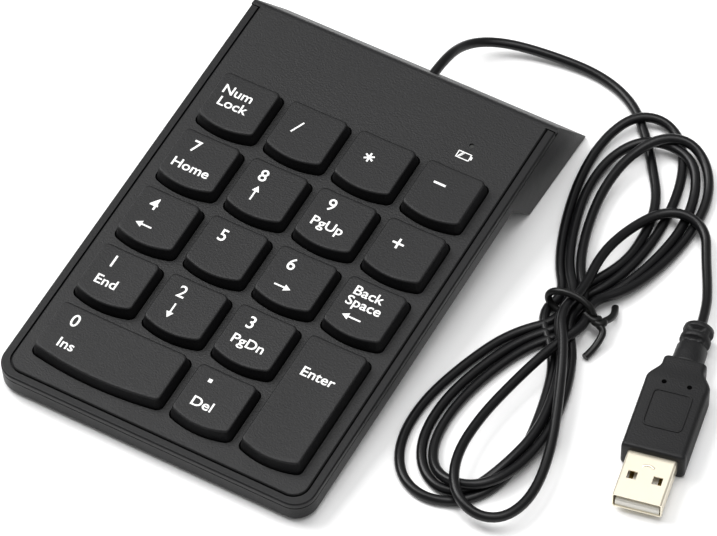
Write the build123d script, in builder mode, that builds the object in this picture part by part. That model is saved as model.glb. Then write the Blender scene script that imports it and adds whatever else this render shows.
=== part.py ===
"""Wired numeric keypad: flat case on a leaning rear foot, 18 sprung keys and a USB lead.

World frame: X to the right, Y to the rear, Z up, floor at Z = 0. Almost every piece is
drawn in the deck frame, whose XY plane is the top of the deck panel, tipped up at the rear.
"""
import os
from math import asin, cos, pi, radians, sin, tan

from build123d import *

# ---- case -------------------------------------------------------------------------
TILT = 5.5                      # deck slope, degrees, rear edge high
DECK_Y, DECK_Z = -7.5, 13.3     # centre of the deck in the world frame
CASE_W, CASE_L = 85.4, 123.3    # outline of the case on the deck plane
CORNER_R = 5.5
PANEL_T = 1.2                   # deck panel
PANEL_W = 80.6                  # panel between the side rims
PANEL_FRONT = -59.3
ROLL_Y = 60.1                   # behind this line the panel runs the full width
SEAM = 0.45                     # gap between the panel's edge and the rim
RIM_TOP, RIM_BOTTOM = -0.2, -1.8
WALL_TOP, CASE_BOTTOM = -2.1, -7.0
WALL_T, FLOOR_T = 1.6, 1.4
EDGE_R = 1.2

# ---- rear foot, as (deck y, deck z) points ----------------------------------------
REAR_LEAN = 0.666               # rearward run of the rear face per unit of drop
FOOT_FRONT_TOP, FOOT_FRONT_LEAN = 33.6, 0.735
FOOT_CLEARANCE = 0.6            # foot's underside above the floor
REAR_WALL_T = 1.3

# ---- keys -------------------------------------------------------------------------
PITCH_X, PITCH_Y = 19.0, 19.05
ROW0_Y = 30.5                   # centre of the rear row
KEY_W, KEY_D, KEY_H = 15.3, 13.9, 3.3
KEY_BOW = 1.6                   # how far the front edge bulges
KEY_FLARE = 0.6                 # how much wider each side is at the skirt
KEY_R = 1.4
KEY_WALL, KEY_TOP_T = 1.1, 1.1
SKIRT_TOP, SKIRT_BOTTOM = 0.2, -0.9
DISH = 0.25
KEY_GAP = 0.35
TRAVEL = 2.0
STEM_R, STEM_BOTTOM = 2.6, -1.9

# name: (column, row, columns wide, rows deep)
KEYS = {
    "key_num_lock": (0, 0, 1, 1), "key_divide": (1, 0, 1, 1),
    "key_multiply": (2, 0, 1, 1), "key_minus": (3, 0, 1, 1),
    "key_7": (0, 1, 1, 1), "key_8": (1, 1, 1, 1), "key_9": (2, 1, 1, 1), "key_plus": (3, 1, 1, 1),
    "key_4": (0, 2, 1, 1), "key_5": (1, 2, 1, 1), "key_6": (2, 2, 1, 1),
    "key_backspace": (3, 2, 1, 1),
    "key_1": (0, 3, 1, 1), "key_2": (1, 3, 1, 1), "key_3": (2, 3, 1, 1), "key_enter": (3, 3, 1, 2),
    "key_0": (0, 4, 2, 1), "key_decimal": (2, 4, 1, 1),
}

# ---- key tray, domes and membranes ------------------------------------------------
TRAY_BOTTOM, TRAY_TOP = -4.0, -3.2
COLLAR_R, COLLAR_TOP = 3.9, -0.3
BORE_R = STEM_R + 0.1
TRAY_REAR = 58.4
DOME_R, DOME_TOP_R = 2.4, 1.5
DOME_TOP = STEM_BOTTOM - 0.05
WEB_BOTTOM, WEB_TOP = -4.4, -4.1
FILM_T = 0.2
PLATE_TOP = WEB_BOTTOM - 3 * FILM_T
FLOOR_TOP = CASE_BOTTOM + FLOOR_T
SHEET_W, SHEET_FRONT, SHEET_REAR = 74.4, -57.5, 39.5
TAIL_W, TAIL_REAR = 24.0, 46.5

# ---- stabiliser wires -------------------------------------------------------------
WIRE_R = 0.45
WIRE_ARM = 6.0                  # pivot to tip
WIRE_PIVOT_Z = -2.2
WIRE_PIVOT_V = 5.2              # pivot line behind the key's centre
WIRE_HALF, WIRE_TIP = 12.0, 14.2    # arms and tips, from the key's centre
WIRE_TIP_V = WIRE_PIVOT_V - WIRE_ARM * cos(asin(TRAVEL / WIRE_ARM))
WIRE_TIP_Z = WIRE_PIVOT_Z + TRAVEL
STABILISED = {"stabiliser_zero": "key_0", "stabiliser_enter": "key_enter"}
EAR_U, EAR_T, EAR_W = 13.4, 1.0, 3.4
LUG_U, LUG_T, LUG_W = 8.5, 2.0, 1.7

# ---- electronics ------------------------------------------------------------------
PCB_X, PCB_W = 5.0, 54.0
PCB_FRONT, PCB_REAR, PCB_T = 42.5, 56.5, 1.0
BAY_FRONT, BAY_REAR = 41.8, 59.0
LED_X, LED_Y = 26.7, 47.2
PIPE_R = 0.6
CLAMP_SCREW_X, CLAMP_Y = 15.5, 44.8
CASE_SCREWS = [(39.2, -48.0), (39.2, 28.0)]

DECK = Plane(
    origin=(0, DECK_Y, DECK_Z),
    x_dir=(1, 0, 0),
    z_dir=(0, -sin(radians(TILT)), cos(radians(TILT))),
)
SIDE = Plane(origin=DECK.origin, x_dir=DECK.y_dir, z_dir=DECK.x_dir)
UP = Axis(DECK.origin, DECK.z_dir)
ALONG = Axis(DECK.origin, DECK.y_dir)

os.makedirs("parts", exist_ok=True)


def deck(x=0.0, y=0.0, z=0.0):
    """Plane parallel to the deck through a point given in deck coordinates."""
    return Plane(DECK.from_local_coords((x, y, z)), x_dir=DECK.x_dir, z_dir=DECK.z_dir)


def save(name, builder):
    builder.part.label = name
    export_step(builder.part, f"parts/{name}.step")


def key_centre(column, row, wide, deep):
    x = (column - 1.5 + (wide - 1) / 2) * PITCH_X
    y = ROW0_Y - (row + (deep - 1) / 2) * PITCH_Y
    return x, y


def key_size(wide, deep):
    return KEY_W + (wide - 1) * PITCH_X, KEY_D + (deep - 1) * PITCH_Y


def wide_key_plane(name):
    """Deck-parallel plane at a wide key's centre with local X along the key's length."""
    x, y = key_centre(*KEYS[name])
    if name == "key_enter":
        return Plane(DECK.from_local_coords((x, y, 0)), x_dir=DECK.y_dir, z_dir=DECK.z_dir)
    return deck(x, y)


def across(base, u):
    """Plane across a wide key at local u: its local X is v, its local Y is up."""
    return Plane(base.from_local_coords((u, 0, 0)), x_dir=base.y_dir, z_dir=base.x_dir)


def key_outline(plane, width, depth, grow):
    """Face of a keycap section: straight rear and sides, bowed front edge."""
    w, d = width / 2 + grow, depth / 2 + grow
    with BuildSketch(plane) as sketch:
        with BuildLine():
            Polyline((-w, -d), (-w, d), (w, d), (w, -d))
            ThreePointArc((w, -d), (0, -d - KEY_BOW), (-w, -d))
        make_face()
        fillet(sketch.vertices(), max(KEY_R + grow / 2, 0.5))
    return sketch.sketch


def key_openings(low, high, grow):
    """Cut an opening for every key from low to high out of the part being built."""
    for cell in KEYS.values():
        opening = key_outline(deck(*key_centre(*cell), low), *key_size(*cell[2:]), grow)
        extrude(opening, amount=high - low, mode=Mode.SUBTRACT)


def case_outline(plane, inset=0.0, rear=CASE_L / 2):
    """Case outline with round front corners, ending square at the rear."""
    w, front = CASE_W / 2 - inset, -CASE_L / 2 + inset
    with BuildSketch(plane) as sketch:
        with BuildLine():
            Polyline((-w, front), (-w, rear), (w, rear), (w, front), (-w, front))
        make_face()
        fillet(sketch.vertices().group_by(ALONG)[0], CORNER_R - inset / 2)
    return sketch.sketch


def rear_y(z):
    """Deck y of the rear face at deck height z."""
    return CASE_L / 2 - REAR_LEAN * z


def floor_z(y, above=0.0):
    """Deck z of the point that stands a given height above the floor at deck y."""
    return (above - DECK_Z) / cos(radians(TILT)) - y * tan(radians(TILT))


def foot_bottom(lean_top, lean, above):
    """Point where a leaning foot face from (lean_top, 0) meets the foot's underside."""
    slope = tan(radians(TILT))
    z = (floor_z(0, above) - lean_top * slope) / (1 - lean * slope)
    return lean_top - lean * z, z


# ---- deck panel -------------------------------------------------------------------
PANEL_FOOT_Z = foot_bottom(CASE_L / 2, REAR_LEAN, FOOT_CLEARANCE + FLOOR_T)[1]
EXIT_X, EXIT_Z, EXIT_R = 4.0, -9.6, 1.45      # cable hole in the rear face
EXIT_PLANE = Plane(
    DECK.from_local_coords((EXIT_X, CASE_L / 2, EXIT_Z)), x_dir=DECK.x_dir, z_dir=DECK.y_dir
)

with BuildPart() as deck_panel:
    with BuildSketch(deck(z=-PANEL_T)) as outline:
        with Locations((0, (PANEL_FRONT + CASE_L / 2) / 2)):
            Rectangle(PANEL_W, CASE_L / 2 - PANEL_FRONT)
        fillet(outline.vertices().group_by(ALONG)[0], CORNER_R - 1.6)
    extrude(amount=PANEL_T)
    top_edges = deck_panel.faces().sort_by(UP)[-1].edges().sort_by(ALONG)
    chamfer(top_edges[:-1], 0.25)
    with BuildSketch(deck(0, (ROLL_Y + CASE_L / 2) / 2, -PANEL_T)):
        Rectangle(CASE_W, CASE_L / 2 - ROLL_Y)
    extrude(amount=PANEL_T)
    with BuildSketch(SIDE):
        with BuildLine():
            Polyline(
                (CASE_L / 2, 0), (rear_y(PANEL_FOOT_Z), PANEL_FOOT_Z),
                (rear_y(PANEL_FOOT_Z) - REAR_WALL_T * 1.2, PANEL_FOOT_Z),
                (CASE_L / 2 - REAR_WALL_T * 1.2, 0), (CASE_L / 2, 0),
            )
        make_face()
    extrude(amount=CASE_W / 2, both=True)
    rear_edges = deck_panel.faces().sort_by(UP)[-1].edges().filter_by(Axis.X)
    fillet(rear_edges.sort_by(ALONG)[-1], 2.0)
    key_openings(-PANEL_T, 0, KEY_FLARE + KEY_GAP)
    with BuildSketch(deck(LED_X, LED_Y, -PANEL_T)):
        Circle(PIPE_R + 0.05)
    extrude(amount=PANEL_T, mode=Mode.SUBTRACT)
    with BuildSketch(EXIT_PLANE):
        Circle(EXIT_R)
    extrude(amount=12, mode=Mode.SUBTRACT)
save("deck_panel", deck_panel)

# ---- upper case: rim, ledge under the panel and the key tray -----------------------
LUG_TOP = WIRE_PIVOT_Z + 0.7
RIM_REAR = ROLL_Y - 0.2

with BuildPart() as upper_case:
    extrude(case_outline(deck(z=RIM_BOTTOM), rear=RIM_REAR), amount=RIM_TOP - RIM_BOTTOM)
    rim_edges = upper_case.faces().sort_by(UP)[-1].edges().sort_by(ALONG)
    fillet(rim_edges[:-1], 0.5)
    tray = case_outline(deck(z=TRAY_BOTTOM), inset=WALL_T + 0.1, rear=TRAY_REAR)
    extrude(tray, amount=RIM_BOTTOM - TRAY_BOTTOM)
    with BuildSketch(deck(z=-PANEL_T)) as recess:
        with Locations((0, (PANEL_FRONT - SEAM + RIM_REAR) / 2)):
            Rectangle(PANEL_W + 2 * SEAM, RIM_REAR - PANEL_FRONT + SEAM)
        fillet(recess.vertices().group_by(ALONG)[0], CORNER_R - 1.6 + SEAM)
    extrude(amount=PANEL_T, mode=Mode.SUBTRACT)
    key_openings(TRAY_TOP, -PANEL_T, KEY_FLARE + KEY_GAP)
    for cell in KEYS.values():
        with BuildSketch(deck(*key_centre(*cell), TRAY_BOTTOM)):
            Circle(COLLAR_R)
        extrude(amount=COLLAR_TOP - TRAY_BOTTOM)
        with BuildSketch(deck(*key_centre(*cell), TRAY_BOTTOM)):
            Circle(BORE_R)
        extrude(amount=COLLAR_TOP - TRAY_BOTTOM, mode=Mode.SUBTRACT)
    for key in STABILISED.values():
        for u in (-LUG_U, LUG_U):
            with BuildSketch(across(wide_key_plane(key), u)):
                with Locations((WIRE_PIVOT_V, (LUG_TOP + TRAY_TOP) / 2 - 0.1)):
                    Rectangle(LUG_W, LUG_TOP - TRAY_TOP + 0.2)
                with Locations((WIRE_PIVOT_V, WIRE_PIVOT_Z)):
                    Circle(WIRE_R + 0.03, mode=Mode.SUBTRACT)
            extrude(amount=LUG_T / 2, both=True)
    with BuildSketch(deck(PCB_X, (BAY_FRONT + BAY_REAR) / 2, TRAY_BOTTOM)):
        Rectangle(PCB_W + 4, BAY_REAR - BAY_FRONT)
    extrude(amount=-PANEL_T - TRAY_BOTTOM, mode=Mode.SUBTRACT)
    for x, y in CASE_SCREWS:
        with BuildSketch(deck(x, y, TRAY_BOTTOM), deck(-x, y, TRAY_BOTTOM)):
            Circle(0.8)
        extrude(amount=2.0, mode=Mode.SUBTRACT)
save("upper_case", upper_case)

# ---- bottom shell with the leaning foot --------------------------------------------
WALL_RUN = REAR_WALL_T * 1.2                  # rear wall measured along the deck
PCB_TOP = PLATE_TOP
PCB_BOTTOM = PCB_TOP - PCB_T
FRONT_FOOT = (30.0, -58.0)                    # rubber feet, world X and Y
REAR_FOOT = (30.0, 54.5)
FOOT_PAD_R, FOOT_PAD_DEPTH = 4.0, 0.5
GROMMET_R, GROMMET_Y0, GROMMET_Y1 = 2.8, 59.0, 63.0
SADDLE_H = 8.4                                # from the cord's axis down to the foot's floor
GROMMET_PLANE = Plane(
    DECK.from_local_coords((EXIT_X, GROMMET_Y0, EXIT_Z)), x_dir=DECK.x_dir, z_dir=DECK.y_dir
)


def foot_section(front, bottom, top, rear):
    """Parallelogram between the foot's front and rear faces, in deck y and z."""
    low_front = foot_bottom(front, FOOT_FRONT_LEAN, bottom)
    low_rear = foot_bottom(rear, REAR_LEAN, bottom)
    return [
        (front - FOOT_FRONT_LEAN * top, top), low_front, low_rear, (rear - REAR_LEAN * top, top),
        (front - FOOT_FRONT_LEAN * top, top),
    ]


with BuildPart() as bottom_shell:
    extrude(case_outline(deck(z=CASE_BOTTOM), rear=45), amount=WALL_TOP - CASE_BOTTOM)
    bottom_edges = bottom_shell.faces().sort_by(UP)[0].edges().sort_by(ALONG)
    fillet(bottom_edges[:-1], EDGE_R)
    with BuildSketch(SIDE):
        with BuildLine():
            Polyline(foot_section(FOOT_FRONT_TOP, FOOT_CLEARANCE, WALL_TOP, CASE_L / 2 - WALL_RUN))
        make_face()
        with BuildLine():
            low = foot_bottom(CASE_L / 2, REAR_LEAN, FOOT_CLEARANCE)
            Polyline(
                low, (rear_y(PANEL_FOOT_Z), PANEL_FOOT_Z),
                (rear_y(PANEL_FOOT_Z) - 6, PANEL_FOOT_Z), (low[0] - 6, floor_z(low[0] - 6, 0.6)), low,
            )
        make_face()
    extrude(amount=CASE_W / 2, both=True)
    cavity = case_outline(deck(z=FLOOR_TOP), inset=WALL_T, rear=45)
    extrude(cavity, amount=WALL_TOP - FLOOR_TOP, mode=Mode.SUBTRACT)
    with BuildSketch(SIDE):
        with BuildLine():
            Polyline(
                foot_section(FOOT_FRONT_TOP + 2.0, FOOT_CLEARANCE + FLOOR_T, WALL_TOP, CASE_L / 2)
            )
        make_face()
    extrude(amount=CASE_W / 2 - WALL_T, both=True, mode=Mode.SUBTRACT)
    for x, y in CASE_SCREWS:
        bosses = [deck(side * x, y, CASE_BOTTOM) for side in (-1, 1)]
        with BuildSketch(*bosses):
            Circle(2.0)
        extrude(amount=TRAY_BOTTOM - CASE_BOTTOM)
        with BuildSketch(*bosses):
            Circle(1.8)
        extrude(amount=0.8, mode=Mode.SUBTRACT)
        with BuildSketch(*bosses):
            Circle(1.1)
        extrude(amount=TRAY_BOTTOM - CASE_BOTTOM, mode=Mode.SUBTRACT)
    board_posts = [deck(side * CLAMP_SCREW_X, CLAMP_Y, -11.5) for side in (-1, 1)]
    with BuildSketch(*board_posts):
        Circle(2.4)
    extrude(amount=PCB_BOTTOM + 11.5)
    with BuildSketch(*board_posts):
        Circle(0.75)
    extrude(amount=PCB_BOTTOM + 11.5, mode=Mode.SUBTRACT)
    with BuildSketch(GROMMET_PLANE):
        with Locations((0, SADDLE_H / 2)):
            Rectangle(8, SADDLE_H)
        Circle(GROMMET_R, mode=Mode.SUBTRACT)
    extrude(amount=GROMMET_Y1 - GROMMET_Y0)
    with BuildSketch(Plane.XY.offset(FOOT_CLEARANCE)):
        with Locations(REAR_FOOT, (-REAR_FOOT[0], REAR_FOOT[1])):
            Circle(FOOT_PAD_R)
    extrude(amount=FOOT_PAD_DEPTH, mode=Mode.SUBTRACT)
save("bottom_shell", bottom_shell)

# ---- rubber feet -------------------------------------------------------------------
for side, x_sign in (("left", -1), ("right", 1)):
    with BuildPart() as rear_pad:
        with BuildSketch():
            with Locations((x_sign * REAR_FOOT[0], REAR_FOOT[1])):
                Circle(FOOT_PAD_R)
        extrude(amount=FOOT_CLEARANCE + FOOT_PAD_DEPTH)
        fillet(rear_pad.faces().sort_by(Axis.Z)[0].edges(), 0.3)
    save(f"rear_foot_{side}", rear_pad)
    with BuildPart() as front_pad:
        with BuildSketch():
            with Locations((x_sign * FRONT_FOOT[0], FRONT_FOOT[1])):
                Circle(FOOT_PAD_R)
        extrude(amount=4)
        split(bisect_by=deck(z=CASE_BOTTOM), keep=Keep.BOTTOM)
        fillet(front_pad.faces().sort_by(Axis.Z)[0].edges(), 0.3)
    save(f"front_foot_{side}", front_pad)

# ---- case screws -------------------------------------------------------------------
SCREW_SPOTS = [(side * x, y) for x, y in CASE_SCREWS for side in (-1, 1)]
for number, (x, y) in enumerate(SCREW_SPOTS, start=1):
    with BuildPart() as case_screw:
        with BuildSketch(deck(x, y, CASE_BOTTOM + 0.05)):
            Circle(1.6)
        extrude(amount=0.75)
        with BuildSketch(deck(x, y, CASE_BOTTOM + 0.8)):
            Circle(0.8)
        extrude(amount=4.1)
        with BuildSketch(deck(x, y, CASE_BOTTOM + 0.05)):
            Rectangle(2.0, 0.4)
            Rectangle(0.4, 2.0)
        extrude(amount=0.4, mode=Mode.SUBTRACT)
    save(f"case_screw_{number}", case_screw)

# ---- support plate, membranes and dome sheet ----------------------------------------
SHEET_Y = (SHEET_FRONT + SHEET_REAR) / 2
SHEET_L = SHEET_REAR - SHEET_FRONT

with BuildPart() as support_plate:
    with BuildSketch(deck(0, SHEET_Y, FLOOR_TOP)):
        Rectangle(SHEET_W, SHEET_L)
    extrude(amount=PLATE_TOP - FLOOR_TOP)
save("support_plate", support_plate)

with BuildPart() as membrane_lower:
    with BuildSketch(deck(0, SHEET_Y, PLATE_TOP)):
        Rectangle(SHEET_W, SHEET_L)
        with Locations((0, SHEET_L / 2 + (TAIL_REAR - SHEET_REAR) / 2)):
            Rectangle(TAIL_W, TAIL_REAR - SHEET_REAR)
    extrude(amount=FILM_T)
save("membrane_lower", membrane_lower)

with BuildPart() as membrane_spacer:
    with BuildSketch(deck(0, 0, PLATE_TOP + FILM_T)):
        with Locations((0, SHEET_Y)):
            Rectangle(SHEET_W, SHEET_L)
        with Locations([key_centre(*cell) for cell in KEYS.values()]):
            Circle(2.5, mode=Mode.SUBTRACT)
    extrude(amount=FILM_T)
save("membrane_spacer", membrane_spacer)

with BuildPart() as membrane_upper:
    with BuildSketch(deck(0, SHEET_Y, PLATE_TOP + 2 * FILM_T)):
        Rectangle(SHEET_W, SHEET_L)
    extrude(amount=FILM_T)
save("membrane_upper", membrane_upper)

DOME_SPOTS = [deck(*key_centre(*cell), WEB_TOP) for cell in KEYS.values()]
HOLLOW_SPOTS = [deck(*key_centre(*cell), WEB_BOTTOM) for cell in KEYS.values()]
with BuildPart() as dome_sheet:
    with BuildSketch(deck(0, SHEET_Y, WEB_BOTTOM)):
        Rectangle(SHEET_W, SHEET_L)
    extrude(amount=WEB_TOP - WEB_BOTTOM)
    with Locations(DOME_SPOTS):
        Cone(DOME_R, DOME_TOP_R, DOME_TOP - WEB_TOP, align=(Align.CENTER, Align.CENTER, Align.MIN))
    with Locations(HOLLOW_SPOTS):
        Cone(
            DOME_R - 0.4, DOME_TOP_R - 0.4, DOME_TOP - WEB_BOTTOM - 0.7,
            align=(Align.CENTER, Align.CENTER, Align.MIN), mode=Mode.SUBTRACT,
        )
save("dome_sheet", dome_sheet)

# ---- keycaps -----------------------------------------------------------------------
EAR_BOTTOM = WIRE_TIP_Z - WIRE_R - 0.5

for name, cell in KEYS.items():
    x, y = key_centre(*cell)
    width, depth = key_size(*cell[2:])
    dish_r = ((width / 2) ** 2 + DISH**2) / (2 * DISH)
    with BuildPart() as keycap:
        extrude(
            key_outline(deck(x, y, SKIRT_BOTTOM), width, depth, KEY_FLARE),
            amount=SKIRT_TOP - SKIRT_BOTTOM,
        )
        loft([
            key_outline(deck(x, y, SKIRT_TOP), width, depth, KEY_FLARE).face(),
            key_outline(deck(x, y, KEY_H), width, depth, 0).face(),
        ], ruled=True)
        dish_centre = DECK.from_local_coords((x, y, KEY_H - DISH + dish_r))
        with BuildSketch(Plane(dish_centre, x_dir=DECK.x_dir, z_dir=DECK.y_dir)):
            Circle(dish_r)
        extrude(amount=depth, both=True, mode=Mode.SUBTRACT)
        fillet(keycap.faces().filter_by(GeomType.CYLINDER).sort_by(SortBy.AREA)[-1].edges(), 0.3)
        loft([
            key_outline(deck(x, y, SKIRT_BOTTOM), width, depth, KEY_FLARE - KEY_WALL).face(),
            key_outline(deck(x, y, KEY_H - KEY_TOP_T), width, depth, -KEY_WALL).face(),
        ], ruled=True, mode=Mode.SUBTRACT)
        with BuildSketch(deck(x, y, STEM_BOTTOM)):
            Circle(STEM_R)
        extrude(amount=KEY_H - KEY_TOP_T + 0.2 - STEM_BOTTOM)
        for u in (-EAR_U, EAR_U) if name in STABILISED.values() else ():
            with BuildSketch(across(wide_key_plane(name), u)):
                with Locations((WIRE_TIP_V, (KEY_H - KEY_TOP_T + 0.2 + EAR_BOTTOM) / 2)):
                    Rectangle(EAR_W, KEY_H - KEY_TOP_T + 0.2 - EAR_BOTTOM)
                with Locations((WIRE_TIP_V - 0.1, WIRE_TIP_Z)):
                    SlotOverall(2.2, 2 * WIRE_R + 0.2, mode=Mode.SUBTRACT)
            extrude(amount=EAR_T / 2, both=True)
    save(name, keycap)

# ---- stabiliser wires under the wide keys -------------------------------------------
for name, key in STABILISED.items():
    base = wide_key_plane(key)
    bends = [
        (-WIRE_TIP, WIRE_TIP_V, WIRE_TIP_Z), (-WIRE_HALF, WIRE_TIP_V, WIRE_TIP_Z),
        (-WIRE_HALF, WIRE_PIVOT_V, WIRE_PIVOT_Z), (WIRE_HALF, WIRE_PIVOT_V, WIRE_PIVOT_Z),
        (WIRE_HALF, WIRE_TIP_V, WIRE_TIP_Z), (WIRE_TIP, WIRE_TIP_V, WIRE_TIP_Z),
    ]
    with BuildPart() as wire:
        with BuildLine() as wire_path:
            FilletPolyline([base.from_local_coords(p) for p in bends], radius=0.8)
        with BuildSketch(Plane(wire_path.line @ 0, z_dir=wire_path.line % 0)):
            Circle(WIRE_R)
        sweep()
    save(name, wire)

# ---- electronics in the rear bay ----------------------------------------------------
CLAMP_SPOTS = [(side * CLAMP_SCREW_X, CLAMP_Y) for side in (-1, 1)]
CLAMP_BOTTOM = PCB_TOP + FILM_T
CLAMP_TOP = CLAMP_BOTTOM + 1.5
LED_H = 0.9

with BuildPart() as circuit_board:
    with BuildSketch(deck(0, 0, PCB_BOTTOM)):
        with Locations((PCB_X, (PCB_FRONT + PCB_REAR) / 2)):
            RectangleRounded(PCB_W, PCB_REAR - PCB_FRONT, 1)
        with Locations(*CLAMP_SPOTS):
            Circle(1.0, mode=Mode.SUBTRACT)
    extrude(amount=PCB_T)
save("circuit_board", circuit_board)

with BuildPart() as controller_chip:
    with BuildSketch(deck(-9, 51.5, PCB_TOP)):
        Rectangle(8, 5.2)
    extrude(amount=1.4)
    chamfer(controller_chip.faces().sort_by(UP)[-1].edges(), 0.3)
save("controller_chip", controller_chip)

with BuildPart() as status_led:
    with BuildSketch(deck(LED_X, LED_Y, PCB_TOP)):
        Rectangle(2.0, 1.25)
    extrude(amount=LED_H)
save("status_led", status_led)

with BuildPart() as light_pipe:
    with BuildSketch(deck(LED_X, LED_Y, PCB_TOP + LED_H)):
        Circle(PIPE_R)
    extrude(amount=-0.35 - PCB_TOP - LED_H)
    with BuildSketch(deck(LED_X, LED_Y, -PANEL_T - 0.8)):
        Circle(1.4)
    extrude(amount=0.8)
save("light_pipe", light_pipe)

with BuildPart() as membrane_clamp:
    with BuildSketch(deck(0, 0, CLAMP_BOTTOM)):
        with Locations((0, CLAMP_Y)):
            SlotOverall(2 * CLAMP_SCREW_X + 5, 3.4)
        with Locations(*CLAMP_SPOTS):
            Circle(0.9, mode=Mode.SUBTRACT)
    extrude(amount=CLAMP_TOP - CLAMP_BOTTOM)
save("membrane_clamp", membrane_clamp)

for side, (x, y) in zip(("left", "right"), CLAMP_SPOTS):
    with BuildPart() as clamp_screw:
        with BuildSketch(deck(x, y, CLAMP_TOP)):
            Circle(1.5)
        extrude(amount=0.9)
        with BuildSketch(deck(x, y, CLAMP_TOP - 7)):
            Circle(0.75)
        extrude(amount=7)
        with BuildSketch(deck(x, y, CLAMP_TOP + 0.5)):
            Rectangle(2.0, 0.4)
            Rectangle(0.4, 2.0)
        extrude(amount=0.4, mode=Mode.SUBTRACT)
    save(f"clamp_screw_{side}", clamp_screw)

HEADER_Y, HEADER_D = 53.0, 4.0
with BuildPart() as cable_header:
    with BuildSketch(deck(EXIT_X, HEADER_Y, PCB_TOP)):
        Rectangle(7, HEADER_D)
    extrude(amount=2.6)
    fillet(cable_header.edges().filter_by(Axis.X), 0.3)
save("cable_header", cable_header)

CABLE_R, LEAD_BUNDLE_R = 1.25, 0.9
with BuildPart() as cable_grommet:
    with BuildSketch(GROMMET_PLANE):
        Circle(GROMMET_R)
        Circle(CABLE_R, mode=Mode.SUBTRACT)
    extrude(amount=GROMMET_Y1 - GROMMET_Y0)
save("cable_grommet", cable_grommet)

with BuildPart() as inner_leads:
    route = [
        (HEADER_Y + HEADER_D / 2, PCB_TOP + 1.5), (57.4, PCB_TOP + 1.5),
        (57.4, EXIT_Z), (GROMMET_Y0, EXIT_Z),
    ]
    with BuildLine() as lead_path:
        FilletPolyline([DECK.from_local_coords((EXIT_X, y, z)) for y, z in route], radius=1.3)
    with BuildSketch(Plane(lead_path.line @ 0, z_dir=lead_path.line % 0)):
        Circle(LEAD_BUNDLE_R)
    sweep()
save("inner_leads", inner_leads)

# ---- cable, hank and tie, in world millimetres ---------------------------------------
LEAD = [
    tuple(DECK.from_local_coords((EXIT_X, GROMMET_Y0, EXIT_Z))), (4.0, 66.1, 10.74),
    (4.4, 77.8, 5.6), (11.0, 84.2, 1.9), (23.6, 87.2, 1.25), (37.0, 88.2, 1.5),
    (48.0, 84.2, 3.2), (55.5, 76.2, 4.5), (62.0, 67.6, 4.3), (68.2, 59.0, 3.6),
    (71.0, 48.5, 3.8), (72.0, 36.5, 4.4), (69.4, 25.0, 5.0),
]
TAIL = [
    (66.0, 25.0, 5.1), (64.8, 34.5, 5.8), (66.6, 44.9, 6.5), (71.0, 54.7, 6.6),
    (77.2, 57.2, 5.6), (83.5, 54.8, 3.4), (87.2, 47.2, 1.6), (91.4, 40.0, 1.5),
    (94.4, 33.6, 3.0), (96.2, 26.8, 3.9),
]
HANK_X, HANK_Y = 66.3, 17.5                   # centre of the tied waist
HANK_H = 2.4
WAIST_RX, WAIST_RZ, WAIST_Z = 4.9, 2.85, 3.8
WAIST_FRONT, WAIST_REAR = 10.0, 25.0
TIE_R, TIE_W = 0.9, 2.2
KNOT = (72.3, 15.4, 4.4)
TIE_ENDS = [(74.6, 24.6, 1.0), (75.4, 7.2, 1.0)]


def corner_radii(points):
    """Radius at each corner: 0.45 of the shorter run over the tangent of half the turn."""
    spots = [Vector(p) for p in points]
    radii = []
    for a, b, c in zip(spots, spots[1:], spots[2:]):
        turn = radians((b - a).get_angle(c - b))
        radii.append(0.45 * min((b - a).length, (c - b).length) / tan(turn / 2))
    return radii


def report_tube(name, path, part, radii):
    length = sum(edge.length for edge in path.edges())
    wanted = pi * CABLE_R**2 * length
    print(f"{name}: length {length:.1f}, volume {part.volume:.1f} of {wanted:.1f}")
    print("  radii", [round(r, 1) for r in radii])


for name, points in (("cable_lead", LEAD), ("cable_tail", TAIL)):
    radii = corner_radii(points)
    with BuildPart() as tube:
        with BuildLine() as tube_path:
            FilletPolyline(points, radius=radii)
        with BuildSketch(Plane(tube_path.line @ 0, z_dir=tube_path.line % 0)):
            Circle(CABLE_R)
        sweep()
    report_tube(name, tube_path.line, tube.part, radii)
    save(name, tube)

# outer shape of the hank: two open lobes joined by necks to the tied waist
REAR_LOBE, REAR_SIZE, REAR_HOLE = (61.2, 59.5), (16.6, 22.5), (9.6, 14.5)
FRONT_LOBE, FRONT_SIZE, FRONT_HOLE = (67.2, -24.5), (20.6, 25.0), (11.5, 15.0)
with BuildPart() as cable_hank:
    with BuildSketch():
        with Locations(REAR_LOBE):
            Ellipse(*REAR_SIZE)
        with Locations(FRONT_LOBE):
            Ellipse(*FRONT_SIZE)
        with BuildLine():
            Polyline(
                (48, 48), (HANK_X - WAIST_RX, WAIST_REAR), (HANK_X - WAIST_RX, WAIST_FRONT),
                (50.5, -8), (82, -8), (HANK_X + WAIST_RX, WAIST_FRONT),
                (HANK_X + WAIST_RX, WAIST_REAR), (74.5, 48), (48, 48),
            )
        make_face()
        with Locations(REAR_LOBE):
            Ellipse(*REAR_HOLE, mode=Mode.SUBTRACT)
        with Locations(FRONT_LOBE):
            Ellipse(*FRONT_HOLE, mode=Mode.SUBTRACT)
    extrude(amount=HANK_H)
    waist_start = Plane((HANK_X, WAIST_REAR, WAIST_Z), x_dir=(1, 0, 0), z_dir=(0, -1, 0))
    with BuildSketch(waist_start):
        Ellipse(WAIST_RX, WAIST_RZ)
    extrude(amount=WAIST_REAR - WAIST_FRONT)
    tie_groove = Plane((HANK_X, HANK_Y + TIE_W / 2, WAIST_Z), x_dir=(1, 0, 0), z_dir=(0, -1, 0))
    with BuildSketch(tie_groove):
        Rectangle(3 * WAIST_RX, 3 * WAIST_Z)
        Ellipse(WAIST_RX, WAIST_RZ, mode=Mode.SUBTRACT)
    extrude(amount=TIE_W, mode=Mode.SUBTRACT)
save("cable_hank", cable_hank)

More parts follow.
